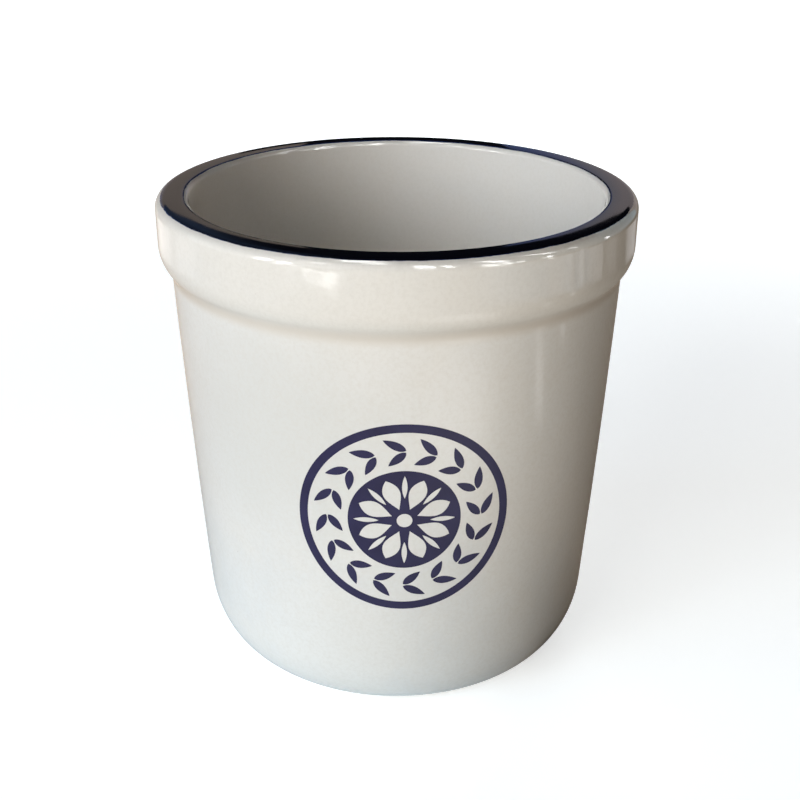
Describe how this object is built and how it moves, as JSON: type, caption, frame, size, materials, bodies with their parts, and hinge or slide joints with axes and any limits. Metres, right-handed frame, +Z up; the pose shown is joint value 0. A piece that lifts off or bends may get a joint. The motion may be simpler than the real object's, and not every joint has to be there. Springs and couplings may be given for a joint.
{
  "type": "stoneware crock",
  "caption": "Open stoneware crock with a rolled collar, dark rim band, round front print, rounded heel and bare foot ring.",
  "frame": {"origin": "centre of the foot ring, on the surface that the crock stands on", "axes": "+Z up along the crock's turning axis; the round print faces -Y"},
  "size_m": [0.196, 0.196, 0.2038],
  "materials": {
    "bare_stoneware": "matt, slightly sandy fired clay",
    "white_glaze": "glossy off-white glaze",
    "navy_glaze": "glossy, nearly black navy glaze",
    "fired_print": "navy ink fired into the glaze, satin gloss"
  },
  "bodies": {
    "root": {"stoneware_body": "bare_stoneware", "outer_glaze": "white_glaze", "inner_glaze": "white_glaze", "rim_band": "navy_glaze", "front_print": "fired_print"}
  },
  "joints": []
}
